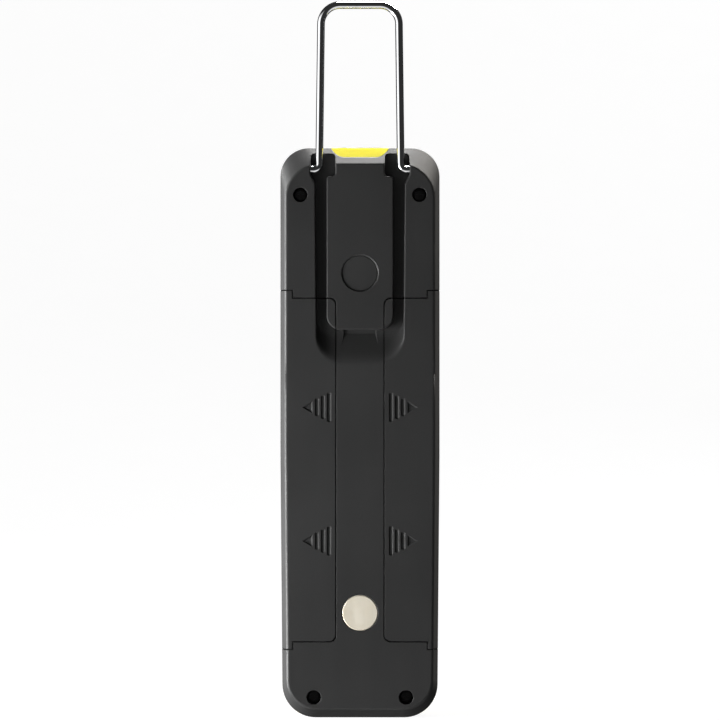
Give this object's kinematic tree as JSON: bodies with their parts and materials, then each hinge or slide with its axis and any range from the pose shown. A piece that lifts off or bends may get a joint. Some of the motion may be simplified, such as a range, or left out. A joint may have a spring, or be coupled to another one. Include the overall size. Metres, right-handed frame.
{
  "type": "work light",
  "caption": "Slim battery work light with a long lamp window, a torch in its top end, a fold-out wire hanging hook, magnets and sliding battery doors.",
  "frame": {"origin": "centre of the flat foot end, midway between back and front", "axes": "+Z from the foot towards the hook, -Y out of the back with the hook, magnets and doors, +Y the way the main lamp shines, +X to the right when looking at the back"},
  "size_m": [0.058, 0.0313, 0.2609],
  "materials": {
    "black_plastic": "fine moulded texture, satin",
    "yellow_plastic": "smooth moulded, satin",
    "chrome_wire": "bright plated wire",
    "nickel_plate": "satin nickel plate",
    "dark_steel": "black oxide",
    "spring_steel": "drawn wire",
    "clear_lens": "clear polycarbonate",
    "soft_rubber": "matt rubber",
    "silvered_reflector": "vacuum-silvered plastic",
    "white_board": "white solder mask",
    "led_resin": "clear resin over yellow phosphor",
    "switch_plastic": "smooth moulded",
    "cell_jacket": "plain foil jacket",
    "red_insulation": "smooth insulation",
    "black_insulation": "smooth insulation",
    "ribbon_film": "polyimide film"
  },
  "bodies": {
    "case": {"rear_shell": "black_plastic", "front_bezel": "yellow_plastic", "lower_magnet": "nickel_plate", "upper_magnet": "nickel_plate", "upper_magnet_cap": "black_plastic", "case_screws": "dark_steel", "flood_lens": "clear_lens", "lens_gasket": "soft_rubber", "flood_reflector": "silvered_reflector", "lamp_board": "white_board", "flood_leds": "led_resin", "lamp_board_screws": "dark_steel", "torch_head": "yellow_plastic", "torch_lens": "clear_lens", "torch_reflector": "silvered_reflector", "torch_leds": "led_resin", "torch_board": "white_board", "switch_housings": "switch_plastic", "control_board": "white_board", "control_board_screws": "dark_steel", "left_lower_cell": "cell_jacket", "left_upper_cell": "cell_jacket", "right_lower_cell": "cell_jacket", "right_upper_cell": "cell_jacket", "left_spring": "spring_steel", "right_spring": "spring_steel", "bridge_contact": "nickel_plate", "positive_contact": "nickel_plate", "negative_contact": "nickel_plate", "positive_wire": "red_insulation", "negative_wire": "black_insulation", "torch_wires": "black_insulation", "board_ribbon": "ribbon_film"},
    "hook": {"hanging_hook": "chrome_wire"},
    "left_door": {"left_battery_door": "black_plastic"},
    "right_door": {"right_battery_door": "black_plastic"},
    "flood_switch": {"flood_button": "soft_rubber", "flood_plunger": "switch_plastic"},
    "torch_switch": {"torch_button": "soft_rubber", "torch_plunger": "switch_plastic"}
  },
  "joints": [
    {"name": "hook_fold", "type": "hinge", "parent": "case", "child": "hook", "pos_m": [0, -0.0128, 0.1996], "axis": [-1, 0, 0], "range_deg": [-180, 0]},
    {"name": "left_door_slide", "type": "slide", "parent": "case", "child": "left_door", "axis": [-1, 0, 0], "range_m": [0, 0.026]},
    {"name": "right_door_slide", "type": "slide", "parent": "case", "child": "right_door", "axis": [1, 0, 0], "range_m": [0, 0.026]},
    {"name": "flood_button_press", "type": "slide", "parent": "case", "child": "flood_switch", "axis": [0, -1, 0], "range_m": [0, 0.0008]},
    {"name": "torch_button_press", "type": "slide", "parent": "case", "child": "torch_switch", "axis": [0, -1, 0], "range_m": [0, 0.0008]}
  ]
}
